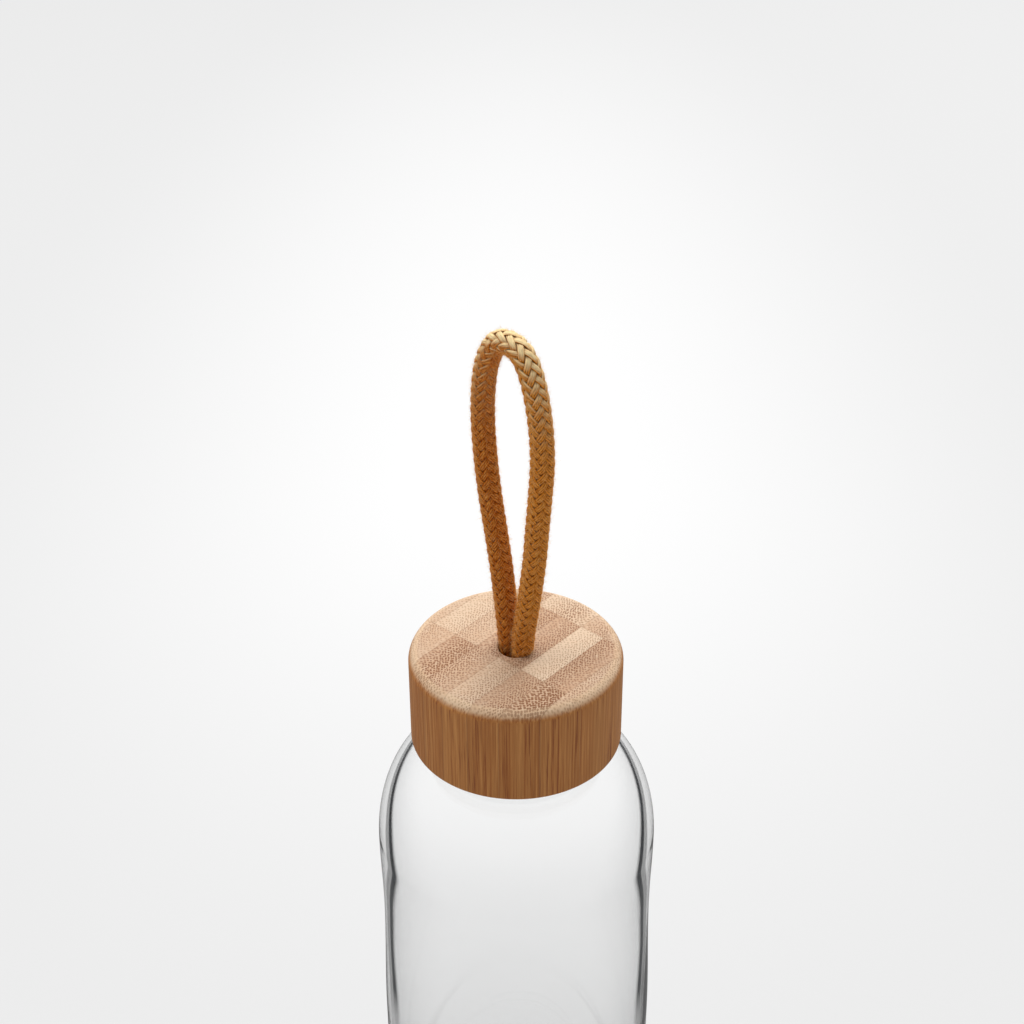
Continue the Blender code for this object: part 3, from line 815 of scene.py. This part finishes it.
def braid(route, along, squeeze, step, size):
    """The strands of a round braid on a route, over a core.

    It gives points, faces, UV places, and how far out each point is. squeeze narrows it in the loop's plane.
    """
    length = along[-1]
    _, across, side = cord_frames(route)
    plane = np.array([math.sin(-LOOP_TURN), math.cos(-LOOP_TURN), 0])
    where = np.linspace(0, length, round(length / step))
    centre = sample(route, along, where)
    e1 = sample(across, along, where)
    e2 = sample(side, along, where)
    shrink = squeeze(where, length)[:, None]
    places, heights = strand_section()
    points, faces, uvs, lifts = [], [], [], []
    offset = 0

    def pressed(push):
        return size * (push - (1 - shrink) * (push - plane * (push @ plane)[:, None]))

    for way in (1, -1):
        for strand in range(STRANDS_EACH_WAY):
            angle = way * where / LAY * TAU + strand * TAU / STRANDS_EACH_WAY
            reach = BRAID_MIDDLE + way * WEAVE * over_under(angle)
            outward = e1 * np.cos(angle)[:, None] + e2 * np.sin(angle)[:, None]
            path = centre + pressed(outward * reach[:, None])
            forward = unit(np.gradient(path, axis=0))
            wide = unit(np.cross(forward, outward))
            thick = np.cross(wide, forward)
            section = (size * STRAND_WIDE * places, size * heights)
            rings, quads = swept(path, wide, thick, section, offset)
            points.append(rings)
            faces.append(quads)
            lifts.append((reach[:, None] + heights[None]).ravel())
            # Each strand starts at its own place in the pattern of fibres.
            run = where / FIBRE_LENGTH + strand * 3.7 + way * 11.3
            uvs.append(np.stack(np.broadcast_arrays(run[:, None], (places[None] + 1) / 2), -1).reshape(-1, 2))
            offset += len(rings)
    around = np.arange(CORE_SIDES) * TAU / CORE_SIDES
    section = (CORE * np.cos(around), CORE * np.sin(around))
    rings, quads = swept(centre, pressed(e1), pressed(e2), section, offset)
    points.append(rings)
    faces.append(quads)
    uvs.append(np.zeros((len(rings), 2)))
    lifts.append(np.zeros(len(rings)))
    points, faces, uvs, lifts = (np.concatenate(part) for part in (points, faces, uvs, lifts))
    return points, faces, uvs[faces.ravel()], lifts / CORD_RADIUS


def squeeze_in_hole(where, length):
    """The share of its width that the cord keeps in the loop's plane, as the hole holds the legs together."""
    deep = CAP_TOP - CAP_CEILING + LEG_DEPTH
    share = np.clip((np.minimum(where, length - where) - deep + 1.0 * MM) / (4 * MM), 0, 1)
    return 0.70 + 0.30 * np.sin(share * math.pi / 2)


def no_squeeze(where, length):
    """The cord keeps its whole width."""
    return np.ones(len(where))


def braided_piece(name, route, along, squeeze, material, step=STRAND_STEP, size=1.0):
    points, faces, uvs, lifts = braid(route, along, squeeze, step, size)
    mesh = mesh_from_arrays(name, points, faces)
    layer = mesh.uv_layers.new(name="strand")
    layer.data.foreach_set("uv", uvs.astype(np.float32).ravel())
    lift = mesh.attributes.new("lift", "FLOAT", "POINT")
    lift.data.foreach_set("value", lifts.astype(np.float32))
    mesh.shade_smooth()
    return add_object(name, mesh, material)


def fuzz_piece(name, route, along, material, seed):
    """Short loose fibres that stand out of the cord, each a thin bent spike."""
    chance = np.random.default_rng(seed)
    length = along[-1]
    ahead, across, side = cord_frames(route)
    where = chance.uniform(LEG_BARE, length - LEG_BARE, FUZZ_HAIRS)
    angle = chance.uniform(0, TAU, FUZZ_HAIRS)
    size = chance.gamma(2.2, 0.20 * MM, FUZZ_HAIRS).clip(FUZZ_SHORTEST, FUZZ_LONGEST)
    lean = chance.normal(0, 1, (FUZZ_HAIRS, 2))
    bend = chance.normal(0, 0.5, (FUZZ_HAIRS, 2))
    width = chance.uniform(0.011 * MM, 0.023 * MM, FUZZ_HAIRS)
    forward = sample(ahead, along, where)
    outward = sample(across, along, where) * np.cos(angle)[:, None]
    outward += sample(side, along, where) * np.sin(angle)[:, None]
    sideways = np.cross(forward, outward)
    start = sample(route, along, where) + outward * (CORD_RADIUS - FUZZ_ROOT)
    around = np.arange(FUZZ_SIDES)[None, :, None] * TAU / FUZZ_SIDES
    section = forward[:, None] * np.cos(around) + sideways[:, None] * np.sin(around)
    rings = []
    for t in np.linspace(0, 1, FUZZ_STEPS + 1):
        drift = forward * (lean[:, :1] * t + bend[:, :1] * t**2)
        drift += sideways * (lean[:, 1:] * t + bend[:, 1:] * t**2)
        rise = size * (1.15 * t - 0.25 * t**2) + FUZZ_ROOT * min(1, t * 2)
        place = start + outward * rise[:, None] + drift * size[:, None] * 0.8
        thin = width * (1 - 0.75 * t)
        rings.append(place[:, None] + thin[:, None, None] * section)
    index = np.arange(FUZZ_HAIRS * (FUZZ_STEPS + 1) * FUZZ_SIDES).reshape(FUZZ_HAIRS, -1, FUZZ_SIDES)
    after = np.roll(index, -1, 2)
    faces = np.stack([index[:, :-1], after[:, :-1], after[:, 1:], index[:, 1:]], -1).reshape(-1, 4)
    mesh = mesh_from_arrays(name, np.stack(rings, 1).reshape(-1, 3), faces)
    mesh.shade_smooth()
    return add_object(name, mesh, material)


def make_knot(cotton):
    """The knot under the cap's top, hidden in the liner's plug: a trefoil of the same cord."""
    low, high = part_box("cord_knot")
    turn = np.linspace(0, TAU, 260)
    reach = KNOT_RING + KNOT_TURN * np.cos(3 * turn)
    height = (low.z + high.z) / 2 - KNOT_TURN * np.sin(3 * turn)
    route = np.stack([reach * np.cos(2 * turn), reach * np.sin(2 * turn), height], -1)
    along = np.concatenate([[0], np.cumsum(np.linalg.norm(np.diff(route, axis=0), axis=1))])
    knot = braided_piece("knot_braid", route, along, no_squeeze, cotton, KNOT_STEP, KNOT_SCALE)
    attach(knot, "cord_base")
    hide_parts("cord_knot")


def make_cord():
    route, along = loop_route()
    cotton = cord_material()
    make_knot(cotton)
    cord = braided_piece("cord_braid", route, along, squeeze_in_hole, cotton)
    loose = fuzz_material()
    fuzz = [
        fuzz_piece(f"cord_fuzz_{i + 1}", route, along, loose, FUZZ_SEED + i) for i in range(FUZZ_PIECES)
    ]
    for piece in (cord, *fuzz):
        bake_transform(piece)
    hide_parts("cord_loop", "cord_leg_front", "cord_leg_back")


# ---------------------------------------------------------------- camera, light and floor


def make_camera():
    camera = bpy.data.objects.new("camera", bpy.data.cameras.new("camera"))
    camera.data.lens = CAMERA_LENS
    camera.data.sensor_width = CAMERA_SENSOR
    camera.data.clip_start = 0.01
    camera.location = Vector((0, 0, CAP_TOP)) + CAMERA_OFFSET
    tilt = Matrix.Rotation(CAMERA_TILT, 3, "X")
    camera.rotation_euler = (tilt @ Matrix.Rotation(CAMERA_ROLL, 3, "Z")).to_euler()
    bpy.context.scene.collection.objects.link(camera)
    bpy.context.scene.camera = camera


def floor_material():
    """A pale floor that glows a little, most behind the object, like a sheet over a light table."""
    nodes = Nodes("pale_floor")
    place = nodes.add("ShaderNodeTexCoord").outputs["Object"]
    side, back, _ = nodes.add("ShaderNodeSeparateXYZ", {0: place}).outputs
    back = nodes.math("SUBTRACT", back, 0.40)
    far = nodes.math("MULTIPLY", nodes.math("MAXIMUM", back, 0.0), 0.34)
    near = nodes.math("MULTIPLY", nodes.math("MINIMUM", back, 0.0), 0.78)
    reach = nodes.add("ShaderNodeCombineXYZ", {0: side, 1: nodes.math("ADD", far, near)}).outputs[0]
    reach = nodes.vector("LENGTH", reach).node.outputs["Value"]
    glow = nodes.smooth_step(reach, -0.01, 0.30, 0.875, 0.71)
    nodes.set(base_color=rgb(0.1, 0.1, 0.1), roughness=0.9, specular_ior_level=0.0)
    nodes.shader.inputs["Emission Color"].default_value = rgb(1, 1, 1)
    nodes.link(glow, nodes.shader.inputs["Emission Strength"])
    return nodes.material


def make_floor():
    mesh = bpy.data.meshes.new("floor")
    shape = bmesh.new()
    bmesh.ops.create_circle(shape, cap_ends=True, radius=12, segments=96)
    shape.to_mesh(mesh)
    shape.free()
    floor = add_object("floor", mesh, floor_material())
    floor.location.z = -0.2 * MM
    floor.visible_glossy = False


def make_world():
    """Pale to the eye and through the glass, dimmer as light, and darker in the mirror of shiny surfaces."""
    world = bpy.data.worlds.new("studio")
    bpy.context.scene.world = world
    world.use_nodes = True
    tree = world.node_tree

    def add(kind, **inputs):
        node = tree.nodes.new(kind)
        for key, value in inputs.items():
            if isinstance(value, bpy.types.NodeSocket):
                tree.links.new(value, node.inputs[key.replace("_", " ")])
            else:
                node.inputs[key.replace("_", " ")].default_value = value
        return node

    paths = add("ShaderNodeLightPath").outputs
    direction = add("ShaderNodeTexCoord").outputs["Generated"]
    upward = add("ShaderNodeSeparateXYZ", Vector=direction).outputs["Z"]
    mirrored = add("ShaderNodeMapRange", Value=upward, From_Min=-0.35, From_Max=0.3, To_Min=0.22, To_Max=1.0)
    lit = add("ShaderNodeMix", Factor=paths["Is Glossy Ray"], A=0.36, B=mirrored.outputs[0]).outputs[0]
    seen = add("ShaderNodeMix", Factor=paths["Is Camera Ray"], A=lit, B=0.75).outputs[0]
    through = add("ShaderNodeMix", Factor=paths["Is Transmission Ray"], A=seen, B=0.86).outputs[0]
    background = tree.nodes["Background"]
    background.inputs["Color"].default_value = rgb(1, 1, 1)
    tree.links.new(through, background.inputs["Strength"])


def add_softbox(name, place, aim, size, power):
    light = bpy.data.lights.new(name, "AREA")
    light.shape = "RECTANGLE"
    light.size, light.size_y = size
    light.energy = power
    softbox = bpy.data.objects.new(name, light)
    softbox.location = place
    softbox.visible_glossy = False
    softbox.visible_transmission = False
    softbox.rotation_euler = (Vector(place) - Vector(aim)).to_track_quat("Z", "Y").to_euler()
    bpy.context.scene.collection.objects.link(softbox)


def main():
    bpy.context.scene.view_settings.view_transform = "Standard"
    make_camera()
    make_world()
    make_floor()
    add_softbox("softbox", (-0.25, 0.45, 1.6), (0, 0, 0.2), (1.8, 1.2), 27)
    add_softbox("back_light", (0.6, 1.3, 1.1), (0, 0, 0.25), (0.9, 0.5), 12)
    make_cord()
    make_glass()
    make_cap()
    make_liner()
    make_seal()


main()
